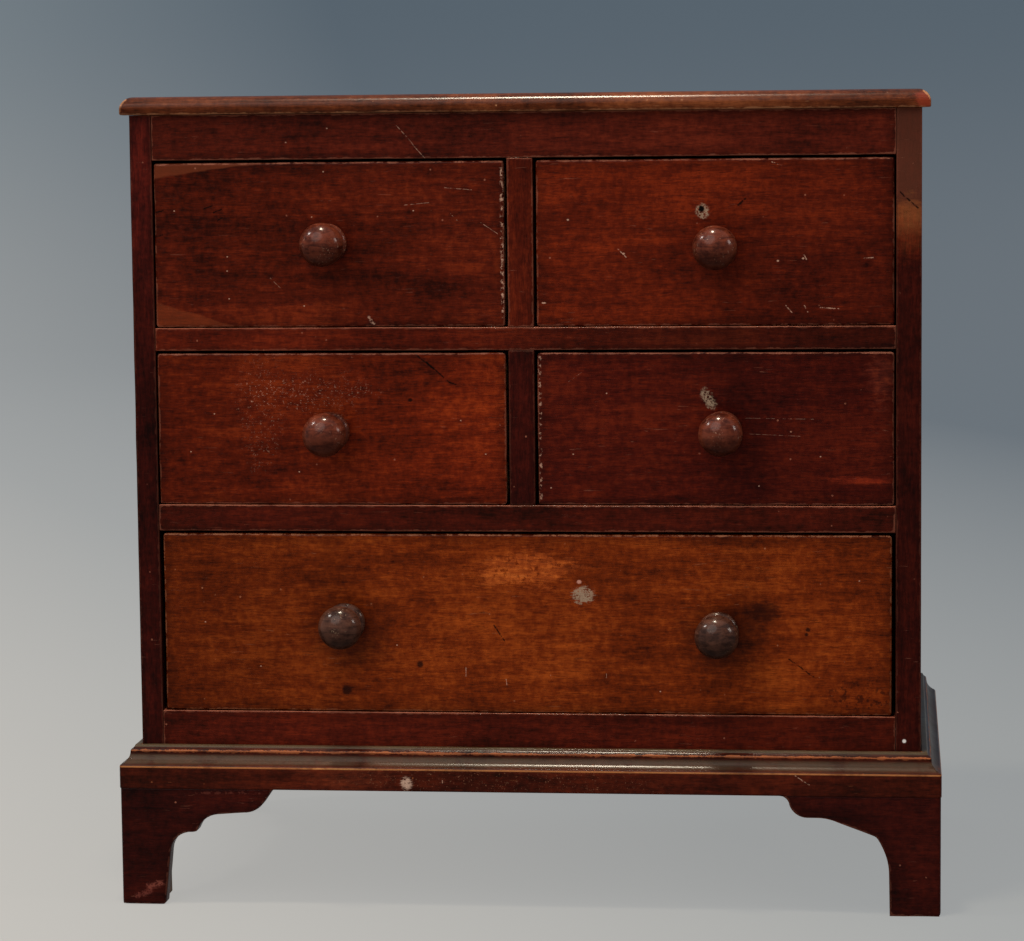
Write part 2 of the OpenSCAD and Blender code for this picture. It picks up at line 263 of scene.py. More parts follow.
class Shader:
    """A short way to write a node tree. Every method returns an output socket."""

    def __init__(self, name):
        self.material = bpy.data.materials.new(name)
        self.material.use_nodes = True
        self.tree = self.material.node_tree
        self.surface = self.tree.nodes["Principled BSDF"]
        self.place = self.add("ShaderNodeTexCoord").outputs["Object"]
        normal = self.parts(self.add("ShaderNodeNewGeometry").outputs["Normal"])
        self.normal_y = normal[1]
        self.normal_z = normal[2]

    def add(self, kind, **settings):
        node = self.tree.nodes.new(kind)
        for key, value in settings.items():
            setattr(node, key, value)
        return node

    def feed(self, socket, value):
        if isinstance(value, bpy.types.NodeSocket):
            self.tree.links.new(value, socket)
        else:
            socket.default_value = value

    def attribute(self, name, output):
        return self.add("ShaderNodeAttribute", attribute_name=name).outputs[output]

    def parts(self, vector):
        node = self.add("ShaderNodeSeparateXYZ")
        self.feed(node.inputs[0], vector)
        return node.outputs

    def math(self, operation, a, b=0.0, clamp=False):
        node = self.add("ShaderNodeMath", operation=operation, use_clamp=clamp)
        self.feed(node.inputs[0], a)
        self.feed(node.inputs[1], b)
        return node.outputs[0]

    def vector(self, operation, a, b=(0, 0, 0), output=0):
        node = self.add("ShaderNodeVectorMath", operation=operation)
        self.feed(node.inputs[0], a)
        self.feed(node.inputs[1], b)
        return node.outputs[output]

    def span(self, value, low, high, to_low=0.0, to_high=1.0):
        """value mapped smoothly from low..high to to_low..to_high, and held there outside."""
        node = self.add("ShaderNodeMapRange", interpolation_type="SMOOTHSTEP")
        for socket, given in zip(node.inputs, (value, low, high, to_low, to_high)):
            self.feed(socket, given)
        return node.outputs[0]

    def noise(self, vector, scale=1.0, detail=3.0, rough=0.55, distortion=0.0):
        node = self.add("ShaderNodeTexNoise")
        self.feed(node.inputs["Vector"], vector)
        for key, value in (("Scale", scale), ("Detail", detail), ("Roughness", rough),
                           ("Distortion", distortion)):
            node.inputs[key].default_value = value
        return node.outputs["Fac"]

    def mix(self, factor, a, b, blend="MIX"):
        node = self.add("ShaderNodeMix", data_type="RGBA", blend_type=blend)
        self.feed(node.inputs["Factor"], factor)
        self.feed(node.inputs[6], a)
        self.feed(node.inputs[7], b)
        return node.outputs[2]

    def ramp(self, value, stops):
        node = self.add("ShaderNodeValToRGB")
        ramp = node.color_ramp
        while len(ramp.elements) < len(stops):
            ramp.elements.new(0.5)
        for element, (place, colour) in zip(ramp.elements, stops):
            element.position = place
            element.color = colour
        self.feed(node.inputs[0], value)
        return node.outputs[0]

    def bump(self, height, depth, normal=None):
        node = self.add("ShaderNodeBump")
        node.inputs["Distance"].default_value = depth * MM
        self.feed(node.inputs["Height"], height)
        if normal:
            self.feed(node.inputs["Normal"], normal)
        return node.outputs[0]

    def facing_front(self):
        return self.span(self.normal_y, -0.7, -0.4, 1, 0)

    def spot(self, x, z, half_x, half_z, ragged=0.5, soft=0.35):
        """A ragged oval on the front: its middle and half sizes, in millimetres."""
        offset = self.vector("SUBTRACT", self.place, (x * MM, 0, z * MM))
        scaled = self.vector("MULTIPLY", offset, (1 / (half_x * MM), 0, 1 / (half_z * MM)))
        reach = self.vector("LENGTH", scaled, output=1)
        streaky = self.vector("MULTIPLY", self.place, (1, 1, 3))
        half = max(half_x, half_z) * MM
        wobble = self.math("SUBTRACT", self.noise(streaky, 1.6 / half, 6, 0.75), 0.5)
        reach = self.math("ADD", reach, self.math("MULTIPLY", wobble, 3 * ragged))
        return self.math("MULTIPLY", self.span(reach, 1 - soft, 1 + soft, 1, 0), self.facing_front())

    def beyond(self, x0, z0, x1, z1):
        """Everything on the front to the left of the line from one point to another, in millimetres."""
        along = Vector((x1 - x0, 0, z1 - z0)).normalized()
        offset = self.vector("SUBTRACT", self.place, (x0 * MM, 0, z0 * MM))
        depth = self.vector("DOT_PRODUCT", offset, (-along.z, 0, along.x), 1)
        streaky = self.vector("MULTIPLY", self.place, (40, 40, 160))
        wobble = self.math("SUBTRACT", self.noise(streaky, 1, 4), 0.5)
        depth = self.math("ADD", depth, self.math("MULTIPLY", wobble, 0.005))
        return self.math("MULTIPLY", self.span(depth, -0.0002, 0.0006), self.facing_front())

    def stroke(self, x0, z0, x1, z1, width):
        """A thin shaky line on the front between two points, in millimetres."""
        along = Vector((x1 - x0, 0, z1 - z0)) * MM
        flat = self.vector("MULTIPLY", self.place, (1, 0, 1))
        offset = self.vector("SUBTRACT", flat, (x0 * MM, 0, z0 * MM))
        t = self.vector("DOT_PRODUCT", offset, along, 1)
        t = self.math("DIVIDE", t, along.length_squared, clamp=True)
        nearest = self.add("ShaderNodeVectorMath", operation="SCALE")
        nearest.inputs[0].default_value = along
        self.feed(nearest.inputs["Scale"], t)
        gap = self.vector("LENGTH", self.vector("SUBTRACT", offset, nearest.outputs[0]), output=1)
        shake = self.math("SUBTRACT", self.noise(flat, 700, 3, 0.7), 0.5)
        gap = self.math("ADD", gap, self.math("MULTIPLY", shake, 2.5 * width * MM))
        near = self.span(gap, 0.3 * width * MM, width * MM, 1, 0)
        return self.math("MULTIPLY", near, self.facing_front())


def broken(s, marked, size, share=0.5):
    """Leaves about the given share of a mark, in scraps of about the given size in millimetres."""
    scraps = s.noise(s.place, 1 / (size * MM), 4, 0.7)
    edge = 0.5 + 0.3 * (0.5 - share)
    return s.math("MULTIPLY", marked, s.span(scraps, edge - 0.03, edge + 0.03))


def rgb(red, green, blue):
    """A colour given as 0 to 255 screen values."""
    screen = [channel / 255 for channel in (red, green, blue)]
    linear = [((c + 0.055) / 1.055) ** 2.4 if c > 0.04 else c / 12.92 for c in screen]
    return (*linear, 1)


# ---- Materials ----

def mahogany_figure(s, grain, patina, dark, middle, light):
    """The wood itself; gives its colour, its fibres and its pores."""
    bands = s.noise(s.vector("MULTIPLY", grain, (9, 75, 60)), 1, 4, 0.6, 0.8)
    streaks = s.noise(s.vector("MULTIPLY", grain, (60, 480, 420)), 1, 4, 0.6, 0.6)
    fibres = s.noise(s.vector("MULTIPLY", grain, (230, 1500, 1200)), 1, 3, 0.65)
    mottle = s.noise(s.vector("MULTIPLY", grain, (330, 260, 200)), 1, 4, 0.7)
    tone = 0.5
    for layer, strength in ((bands, 0.5), (streaks, 0.5), (fibres, 0.4), (mottle, 0.6), (patina, 0.8)):
        tone = s.math("ADD", tone, s.math("MULTIPLY", s.math("SUBTRACT", layer, 0.5), strength))
    colour = s.ramp(tone, [(0.22, dark), (0.5, middle), (0.80, light)])
    pores = s.noise(s.vector("MULTIPLY", grain, (230, 2300, 2300)), 1, 2, 0.5)
    pores = s.span(pores, 0.57, 0.66)
    flecks = s.noise(s.vector("MULTIPLY", grain, (120, 700, 700)), 1, 2, 0.5)
    flecks = s.span(flecks, 0.62, 0.72)
    colour = s.mix(s.math("MULTIPLY", pores, 0.35), colour, dark)
    return s.mix(s.math("MULTIPLY", flecks, 0.35), colour, dark), fibres, pores


def small_hurts(s, nicked):
    """Where there are small nicks, and where hairline scratches."""
    cells = s.add("ShaderNodeTexVoronoi", feature="F1")
    cells.inputs["Scale"].default_value = 170
    s.feed(cells.inputs["Vector"], s.place)
    chosen = s.math("LESS_THAN", s.parts(cells.outputs["Color"])[0], nicked)
    nick = s.math("MULTIPLY", s.span(cells.outputs["Distance"], 0.05, 0.10, 1, 0), chosen)
    nick = s.math("MULTIPLY", nick, s.span(s.noise(s.place, 400, 2), 0.42, 0.55))
    level = s.noise(s.vector("MULTIPLY", s.place, (110, 110, 1700)), 1, 1, 0.4, 0.8)
    scratch = s.math("MULTIPLY", s.span(level, 0.74, 0.77), s.span(s.noise(s.place, 31, 2), 0.45, 0.6))
    return nick, scratch


def rubbed_and_highlit_arrises(s, arris, upward, edge_wear):
    """A thin broken line along each arris: rubbed, paler wood with a painted highlight, strongest on the
    upward-facing tops where overhead light would catch them.
    """
    width = s.span(s.noise(s.place, 210, 5, 0.75), 0.36, 0.66, 0.0004, 0.0013)
    rub = s.span(arris, s.math("MULTIPLY", width, 0.6), width, 1, 0)
    rub = s.math("MULTIPLY", rub, s.span(s.noise(s.place, 60, 4, 0.7), 0.34, 0.58, 0.5, 1))
    # Painted highlight: the line is made stronger on upward-facing arrises
    rub = s.math("MULTIPLY", rub, s.math("ADD", 0.4, s.math("MULTIPLY", upward, 0.6)))
    return s.math("MULTIPLY", rub, edge_wear, clamp=True)


def old_mahogany(name, dark, middle, light, worn, gloss=0.36, edge_wear=1.0, grime=0.4, shine=0.15,
                 nicked=0.28, marks=None):
    """Aged, polished mahogany: figure, dirt, marks, nicks, rubbed arrises with a painted highlight along
    their tops, and polish.
    """
    s = Shader(name)
    grain = s.attribute("grain", "Vector")
    arris = s.attribute("arris", "Fac")
    upward = s.span(s.normal_z, 0.12, 0.55)
    patina = s.noise(s.place, 15, 4, 0.6)
    colour, fibres, pores = mahogany_figure(s, grain, patina, dark, middle, light)
    # Old polish and dirt gathers just inside the arrises
    reach = s.math("MULTIPLY", s.noise(s.place, 55, 3), 0.014)
    dirt = s.span(arris, 0.0006, reach, grime, 0)
    colour = s.mix(dirt, colour, s.mix(0.8, colour, rgb(10, 3, 2)))
    if marks:
        colour = marks(s, colour)
    nick, scratch = small_hurts(s, nicked)
    hurt = s.math("MAXIMUM", s.math("MULTIPLY", nick, 0.7), s.math("MULTIPLY", scratch, 0.35))
    colour = s.mix(hurt, colour, worn)
    # Rubbed, paler wood and a painted highlight along the arrises, in the worn colour
    rub = rubbed_and_highlit_arrises(s, arris, upward, edge_wear)
    colour = s.mix(rub, colour, worn)
    s.feed(s.surface.inputs["Base Color"], colour)
    # The polish is left on the tops of things and rubbed dull on the fronts
    rough = s.span(patina, 0.3, 0.7, gloss - 0.06, gloss + 0.12)
    rough = s.math("ADD", rough, s.math("MULTIPLY", s.math("MAXIMUM", rub, hurt), 0.25), clamp=True)
    s.feed(s.surface.inputs["Roughness"], rough)
    s.surface.inputs["Specular IOR Level"].default_value = 0.04
    s.feed(s.surface.inputs["Coat Weight"], s.math("MULTIPLY", upward, shine))
    s.surface.inputs["Coat Roughness"].default_value = 0.17
    # Relief
    waves = s.bump(s.noise(s.place, 35, 3), 0.35)
    relief = s.bump(s.math("ADD", fibres, s.math("MULTIPLY", pores, -0.8)), 0.05, waves)
    relief = s.bump(s.math("MULTIPLY", s.math("MAXIMUM", nick, scratch), -1.0), 0.12, relief)
    s.feed(s.surface.inputs["Normal"], relief)
    return s.material


def bare_pine(name, dark, light, dirt):
    """Unpolished old softwood, as inside drawers and at the back."""
    s = Shader(name)
    grain = s.attribute("grain", "Vector")
    arris = s.attribute("arris", "Fac")
    rings = s.noise(s.vector("MULTIPLY", grain, (4, 210, 60)), 1, 3, 0.5, 0.5)
    rings = s.span(rings, 0.35, 0.65)
    fibres = s.noise(s.vector("MULTIPLY", grain, (60, 1700, 900)), 1, 3, 0.6)
    stain = s.noise(s.place, 21, 5, 0.65)
    colour = s.mix(rings, light, dark)
    colour = s.mix(s.math("MULTIPLY", fibres, 0.4), colour, dark)
    colour = s.mix(s.span(stain, 0.42, 0.75, 0, 0.75), colour, dirt)
    colour = s.mix(s.span(arris, 0.0, 0.004, 0.55, 0), colour, dirt)
    s.feed(s.surface.inputs["Base Color"], colour)
    s.feed(s.surface.inputs["Roughness"], s.span(stain, 0.3, 0.7, 0.62, 0.85))
    s.surface.inputs["Specular IOR Level"].default_value = 0.3
    s.feed(s.surface.inputs["Normal"], s.bump(s.math("ADD", rings, fibres), 0.08))
    return s.material


def old_iron(name):
    """Dark iron with spots of rust."""
    s = Shader(name)
    rust = s.noise(s.place, 900, 4)
    colour = s.mix(s.span(rust, 0.4, 0.65), rgb(40, 36, 34), rgb(84, 48, 30))
    s.feed(s.surface.inputs["Base Color"], colour)
    s.feed(s.surface.inputs["Roughness"], s.span(rust, 0.3, 0.7, 0.45, 0.8))
    s.surface.inputs["Metallic"].default_value = 0.7
    s.feed(s.surface.inputs["Normal"], s.bump(rust, 0.1))
    return s.material


def turned_wood(name, dark, light, worn):
    """Handled, glossy turned wood: blotches of old polish, faint turning rings, scuffs and painted shade
    on the undersides.
    """
    s = Shader(name)
    turn = s.attribute("turn", "Vector")
    rings = s.noise(s.vector("MULTIPLY", turn, (1.2, 900, 900)), 1, 2)
    grain = s.noise(s.vector("MULTIPLY", s.place, (90, 90, 420)), 1, 5, 0.7, 0.8)
    blotch = s.noise(s.place, 190, 5, 0.65)
    colour = s.mix(s.span(s.math("ADD", grain, blotch), 0.75, 1.25), dark, light)
    scuff = s.span(s.noise(s.place, 900, 3, 0.7), 0.60, 0.66)
    scuff = s.math("MULTIPLY", scuff, s.span(s.noise(s.place, 160, 2), 0.46, 0.6))
    colour = s.mix(s.math("MULTIPLY", scuff, 0.6), colour, worn)
    # Painted shade: the downward-facing half of each knob is darkened towards near black
    low = s.span(s.normal_z, -0.8, 0.35, 0.75, 0)
    colour = s.mix(low, colour, s.mix(0.75, dark, rgb(12, 4, 3)))
    s.feed(s.surface.inputs["Base Color"], colour)
    s.feed(s.surface.inputs["Roughness"], s.span(blotch, 0.3, 0.7, 0.24, 0.42))
    s.surface.inputs["Specular IOR Level"].default_value = 0.03
    s.feed(s.surface.inputs["Coat Weight"], s.span(s.normal_z, -0.3, 0.45, 0.03, 0.5))
    s.surface.inputs["Coat Roughness"].default_value = 0.16
    relief = s.bump(s.noise(s.place, 260, 4), 0.3)
    relief = s.bump(s.math("SUBTRACT", rings, scuff), 0.05, relief)
    s.feed(s.surface.inputs["Normal"], relief)
    return s.material


# Pale worn wood for nicks and scratches, also the colour of the painted highlight along the arrises
WORN_AND_HIGHLIT = rgb(158, 94, 72)
ORANGE = rgb(164, 92, 54)
PALE = rgb(205, 158, 134)
BLACK = rgb(8, 3, 2)
BURNT = rgb(34, 9, 5)
STAIN = rgb(34, 11, 6)
FILLER = rgb(158, 132, 110)


def lay(s, colour, marked, strength, shade):
    """Puts a shade over the colour where something is marked."""
    return s.mix(s.math("MULTIPLY", marked, strength), colour, shade)


def brighten(s, colour, marked, strength, times):
    """Lets more of the wood's own colour show where something is marked, grain and all."""
    return s.mix(s.math("MULTIPLY", marked, strength), colour, (*times, 1), "MULTIPLY")


def pale_nicks(s, colour, places, size=0.33):
    """Tiny dents that show pale wood, at (x, z) places in millimetres."""
    for x, z in places:
        colour = lay(s, colour, s.spot(x, z, size, 0.8 * size), 0.7, PALE)
    return colour


def scratches(s, colour, lines, width=0.2, strength=0.6):
    """Thin broken scratches, each (x0, z0, x1, z1) in millimetres."""
    for line in lines:
        colour = lay(s, colour, broken(s, s.stroke(*line, width), 1.2, 0.55), strength, PALE)
    return colour


def cracks(s, colour, lines, width=0.45):
    """Dark splits, each (x0, z0, x1, z1) in millimetres."""
    for line in lines:
        colour = lay(s, colour, broken(s, s.stroke(*line, width), 2.5, 0.75), 0.9, BLACK)
    return colour


def top_left_marks(s, colour):
    # Painted sheen: two corners are laid over with a paler brown
    colour = lay(s, colour, s.beyond(-164.4, 326.5, -120, 333.4), 0.6, rgb(116, 54, 31))
    colour = lay(s, colour, s.beyond(-122, 260, -165, 272), 0.4, rgb(120, 54, 28))
    splits = [(-142, 313.5, -137.5, 315), (-137.5, 311.8, -134, 313.2), (-136, 308, -133, 310.2),
              (-164, 312, -160.5, 312.8), (-164.4, 301, -161, 302)]
    nicks = [(-131.8, 292.1), (-132, 285.8), (-131.3, 273.4), (-97.5, 270.1), (-88, 329.5),
             (-155.4, 312.6), (-93.5, 309.5), (-48, 312)]
    lines = [(-112.6, 282.6, -108.2, 278.2), (-31.5, 310.5, -28.5, 307.6), (-18, 306.5, -9, 300.5),
             (-52, 314.5, -41, 315.5), (-34, 322, -22, 321)]
    colour = cracks(s, colour, splits)
    colour = pale_nicks(s, colour, nicks)
    colour = scratches(s, colour, lines, 0.16, 0.5)
    # The right-hand arris has been knocked again and again
    colour = lay(s, colour, broken(s, s.stroke(-8.6, 330, -8.6, 264, 1.1), 1.6, 0.35), 0.8, PALE)
    return lay(s, colour, broken(s, s.stroke(-68.5, 265, -66.5, 262, 0.9), 0.7, 0.5), 0.5, PALE)


def top_right_marks(s, colour):
    colour = brighten(s, colour, s.spot(150, 290, 50, 46, 0.3, 0.7), 0.8, (0.66, 0.66, 0.85))
    # An old screw hole above the knob, filled and broken out again
    colour = lay(s, colour, broken(s, s.spot(79.6, 310.8, 2.7, 3.1, 0.5, 0.2), 1.0, 0.6), 0.85, FILLER)
    colour = lay(s, colour, s.spot(79.2, 311.9, 1.3, 1.5, 0.4, 0.3), 1.0, BLACK)
    colour = cracks(s, colour, [(95.5, 313.6, 98.4, 316.2)], 0.7)
    colour = pale_nicks(s, colour, [(45, 292.5), (123.5, 290), (112.5, 289), (20.5, 307.5)], 0.5)
    lines = [(42.5, 294.5, 46, 291), (150, 290, 154, 290.2), (124, 291.5, 125.5, 288.5),
             (116, 269.5, 118.5, 266.5), (124, 269.4, 125.5, 266.6), (131, 268.5, 139, 268),
             (110, 332, 116, 330)]
    colour = scratches(s, colour, lines, 0.3)
    return lay(s, colour, s.spot(9.5, 271, 0.9, 0.3), 0.9, PALE)


def middle_left_marks(s, colour):
    colour = brighten(s, colour, s.spot(-140, 215, 46, 46, 0.3, 0.7), 0.8, (0.75, 0.74, 0.8))
    colour = brighten(s, colour, s.spot(-20, 212, 46, 40, 0.3, 0.7), 0.7, (1.25, 1.2, 1.1))
    # Dark cracks that run down from the top edge, and a crazed, knocked polish round the knob
    colour = cracks(s, colour, [(-48, 248.6, -40, 242), (-43, 245, -33, 236), (-33, 236, -30, 235)])
    colour = lay(s, colour, s.spot(-50.5, 228.1, 1.0, 0.8), 0.9, BLACK)
    colour = lay(s, colour, broken(s, s.spot(-96, 231, 26, 8, 0.8, 0.5), 0.9, 0.10), 0.35, PALE)
    colour = lay(s, colour, broken(s, s.spot(-118, 222, 9, 22, 0.8, 0.5), 0.9, 0.08), 0.3, PALE)
    return pale_nicks(s, colour, [(-139, 222), (-101, 196), (-28, 219), (-17, 204), (-150, 205)])


def middle_right_marks(s, colour):
    colour = brighten(s, colour, s.spot(140, 212, 52, 50, 0.3, 0.7), 0.8, (0.68, 0.66, 0.8))
    # A scraped, part-filled dent above the knob and a scuffed top corner
    colour = lay(s, colour, broken(s, s.stroke(80.2, 231, 83.4, 226, 2.6), 0.9, 0.65), 0.9, FILLER)
    colour = lay(s, colour, broken(s, s.stroke(81, 231.5, 84.6, 226, 2.4), 0.7, 0.3), 0.9, BLACK)
    colour = brighten(s, colour, s.spot(158, 237, 6, 9, 1.4, 0.5), 0.8, (2.2, 3.6, 3.8))
    colour = brighten(s, colour, s.spot(150, 192.5, 12, 1.4, 0.9, 0.5), 0.9, (3.0, 3.2, 2.4))
    colour = lay(s, colour, broken(s, s.stroke(7.5, 247, 7.5, 184, 0.9), 1.8, 0.3), 0.6, PALE)
    lines = [(98, 220, 128, 219.5), (100, 213, 122, 212), (20, 236, 27, 241)]
    colour = scratches(s, colour, lines, 0.12, 0.3)
    return pale_nicks(s, colour, [(22, 204), (37, 231), (118, 214), (131, 203), (104, 190), (12, 189)])


def bottom_marks(s, colour):
    colour = brighten(s, colour, s.spot(-150, 120, 62, 60, 0.3, 0.7), 0.8, (0.64, 0.62, 0.62))
    # A rubbed, paler patch high in the middle and a plug of filler beside it
    patch = broken(s, s.spot(1, 152.5, 21, 7.5, 1.0, 0.3), 3.5, 0.75)
    colour = brighten(s, colour, patch, 0.9, (2.0, 2.6, 3.6))
    colour = lay(s, colour, broken(s, s.spot(25.9, 141.1, 4.4, 3.6, 0.8, 0.2), 0.9, 0.7), 0.9, FILLER)
    colour = lay(s, colour, s.spot(24.1, 147, 1.0, 0.8, 0.5, 0.3), 0.9, rgb(196, 140, 122))
    # Dark stains round the knobs, burnt spots and scratches
    colour = lay(s, colour, s.spot(-79, 123, 17, 13, 0.7, 0.6), 0.5, STAIN)
    colour = lay(s, colour, s.spot(88, 124, 16, 14, 0.7, 0.6), 0.6, STAIN)
    colour = lay(s, colour, s.spot(105.5, 134, 7.5, 4.5, 0.8, 0.4), 0.7, BURNT)
    colour = lay(s, colour, broken(s, s.spot(150, 96, 14, 6, 0.8, 0.4), 3, 0.35), 0.7, BURNT)
    for x, z, size in ((-80.9, 97.4, 2.2), (-47.6, 109.5, 1.4), (125.4, 126.1, 1.0), (124.8, 124, 0.8)):
        colour = lay(s, colour, s.spot(x, z, size, size), 0.85, rgb(26, 8, 5))
    colour = cracks(s, colour, [(-14.2, 127.4, -9.6, 120.4), (117, 113, 128, 105)])
    lines = [(-27, 108, -27, 104), (-9, 103, -8.6, 100), (11, 105, 11.4, 103), (36, 106, 36, 104)]
    colour = scratches(s, colour, lines)
    return pale_nicks(s, colour, [(148, 148), (-145, 128), (-120, 108), (60, 98), (-58, 118)])


def top_rail_marks(s, colour):
    # One long scratch that bends twice
    lines = [(-55, 349.5, -50, 344), (-50, 344, -46.5, 339.5), (-46.5, 339.5, -42.4, 334.9)]
    colour = pale_nicks(s, colour, [(-86, 348.5), (-104.5, 342.5)])
    return scratches(s, colour, lines, 0.25, 0.45)


def top_board_marks(s, colour):
    """The right front corner is rubbed through to the red ground."""
    return lay(s, colour, s.spot(176.5, 358.5, 4, 4.5, 0.9, 0.4), 0.6, rgb(140, 52, 34))


def rail_marks(s, colour):
    """Redder to the left, darker to the right."""
    colour = brighten(s, colour, s.spot(110, 255, 100, 60, 0.3, 0.6), 0.8, (0.62, 0.72, 0.9))
    return brighten(s, colour, s.spot(-90, 255, 110, 60, 0.3, 0.6), 0.8, (1.35, 1.3, 1.2))


def low_rail_marks(s, colour):
    """The bottom rail darkens to the right."""
    return brighten(s, colour, s.spot(120, 80, 120, 60, 0.2, 0.6), 0.8, (0.74, 0.72, 0.7))


def left_side_marks(s, colour):
    """The top of the left side is faded."""
    return brighten(s, colour, s.spot(-171, 340, 16, 50, 0.6, 0.7), 0.8, (2.0, 2.0, 2.2))


def right_side_marks(s, colour):
    colour = brighten(s, colour, s.spot(170, 140, 30, 130, 0.2, 0.5), 0.8, (0.72, 0.68, 0.72))
    # The polish is worn through near the top of the right side
    colour = lay(s, colour, s.spot(170, 338, 16, 32, 0.35, 0.5), 0.5, rgb(108, 60, 44))
    colour = brighten(s, colour, s.spot(169.5, 302, 9, 12, 0.6, 0.4), 0.9, (2.7, 2.9, 1.6))
    colour = cracks(s, colour, [(165.5, 318.6, 173.2, 311.6)])
    return lay(s, colour, s.spot(167.7, 76.8, 0.8, 0.8, 0.2), 1.0, rgb(235, 225, 220))


def plinth_marks(s, colour):
    # Olive-grey in the two coves, partly dusty polish and partly a painted sheen where their upward faces
    # catch the light, and the rubbed arris between the large cove and the fascia: height and half width
    # in millimetres, strength, shade
    height = s.parts(s.place)[2]
    bands = ((66.2, 2.6, 0.6, rgb(82, 66, 50)), (72.0, 0.9, 0.7, rgb(92, 78, 58)),
             (63.2, 0.45, 0.8, rgb(176, 112, 66)))
    for z, half, strength, shade in bands:
        gap = s.math("ABSOLUTE", s.math("SUBTRACT", height, z * MM))
        line = s.span(gap, 0.5 * half * MM, half * MM, 1, 0)
        patchy = s.span(s.noise(s.place, 60, 4, 0.7), 0.34, 0.5, 0.5, 1)
        colour = lay(s, colour, s.math("MULTIPLY", line, patchy), strength, shade)
    # Chips and scuffs along the fascia
    chip = broken(s, s.spot(-53.3, 57.0, 2.2, 2.6, 0.8, 0.3), 1.0, 0.8)
    colour = lay(s, colour, chip, 0.9, rgb(196, 160, 140))
    scuffs = broken(s, s.spot(-10, 59, 60, 5, 0.8, 0.6), 0.8, 0.04)
    colour = lay(s, colour, scuffs, 0.6, rgb(160, 108, 80))
    colour = brighten(s, colour, s.spot(-82, 59, 16, 5, 1.2, 0.5), 0.7, (1.8, 2.2, 2.2))
    return scratches(s, colour, [(120, 62.5, 126, 58.5), (-37, 59.5, -37, 57.5)], 0.3)


def foot_marks(s, colour):
    # Two kicks low on the left foot and a rub under the fascia:
    # line, width, size and share of the scraps, strength, shade
    kicks = (((-166, 10, -171.5, 8.2), 1.8, 0.9, 0.7, 0.6, rgb(140, 74, 62)),
             ((-171, 6.4, -177, 4), 1.6, 0.9, 0.6, 0.5, rgb(130, 66, 56)),
             ((-150, 51.6, -120, 51.8), 0.8, 2, 0.5, 0.35, rgb(120, 60, 48)))
    for line, width, size, share, strength, shade in kicks:
        colour = lay(s, colour, broken(s, s.stroke(*line, width), size, share), strength, shade)
    return colour


case_wood = old_mahogany("case_mahogany", rgb(42, 9, 4), rgb(84, 23, 9), rgb(120, 40, 16), WORN_AND_HIGHLIT,
                         edge_wear=0.7, marks=rail_marks)
bottom_rail_wood = old_mahogany("bottom_rail_mahogany", rgb(36, 9, 4), rgb(77, 21, 10),
                                rgb(112, 35, 15), WORN_AND_HIGHLIT, edge_wear=0.8, marks=low_rail_marks)
top_rail_wood = old_mahogany("top_rail_mahogany", rgb(41, 11, 6), rgb(86, 26, 14), rgb(120, 42, 22), WORN_AND_HIGHLIT,
                             marks=top_rail_marks)
left_side_wood = old_mahogany("left_side_mahogany", rgb(24, 5, 4), rgb(58, 13, 8), rgb(86, 23, 13), WORN_AND_HIGHLIT,
                              edge_wear=0.25, marks=left_side_marks)
right_side_wood = old_mahogany("right_side_mahogany", rgb(26, 6, 4), rgb(62, 15, 8), rgb(92, 27, 14),
                               WORN_AND_HIGHLIT, edge_wear=0.25, marks=right_side_marks)
top_wood = old_mahogany("top_mahogany", rgb(44, 17, 8), rgb(92, 42, 20), rgb(132, 70, 38),
                        rgb(172, 118, 82), gloss=0.30, grime=0.3, shine=0.4, nicked=0.7,
                        marks=top_board_marks)
plinth_wood = old_mahogany("plinth_mahogany", rgb(26, 8, 4), rgb(62, 19, 9), rgb(92, 32, 15), ORANGE,
                           edge_wear=1.1, shine=0.25, nicked=0.5, marks=plinth_marks)
foot_wood = old_mahogany("foot_mahogany", rgb(22, 5, 4), rgb(50, 12, 8), rgb(74, 21, 12), WORN_AND_HIGHLIT,
                         edge_wear=0.5, marks=foot_marks)
drawer_wood = {
    "top_left": old_mahogany("top_left_mahogany", rgb(40, 9, 4), rgb(85, 24, 9), rgb(126, 44, 17), WORN_AND_HIGHLIT,
                             marks=top_left_marks),
    "top_right": old_mahogany("top_right_mahogany", rgb(42, 9, 4), rgb(90, 25, 8), rgb(134, 44, 14), WORN_AND_HIGHLIT,
                              marks=top_right_marks),
    "middle_left": old_mahogany("middle_left_mahogany", rgb(46, 10, 4), rgb(98, 28, 8),
                                rgb(144, 52, 17), WORN_AND_HIGHLIT, marks=middle_left_marks),
    "middle_right": old_mahogany("middle_right_mahogany", rgb(34, 6, 4), rgb(72, 17, 8), rgb(108, 33, 13),
                                 WORN_AND_HIGHLIT, marks=middle_right_marks),
    "bottom": old_mahogany("bottom_mahogany", rgb(54, 15, 4), rgb(112, 40, 8), rgb(160, 70, 20),
                           rgb(168, 104, 72), marks=bottom_marks),
}
lining = bare_pine("pine_lining", rgb(150, 108, 66), rgb(190, 150, 102), rgb(92, 62, 38))
inside = bare_pine("pine_inside", rgb(84, 54, 34), rgb(112, 78, 50), rgb(46, 30, 20))
back_pine = bare_pine("pine_back", rgb(96, 66, 42), rgb(134, 98, 64), rgb(52, 36, 26))
iron = old_iron("iron_nails")
short_knob_wood = turned_wood("short_knob_wood", rgb(56, 20, 12), rgb(112, 52, 34), rgb(176, 128, 104))
long_knob_wood = turned_wood("long_knob_wood", rgb(44, 24, 18), rgb(92, 57, 44), rgb(160, 130, 104))


# ---- Boards ----

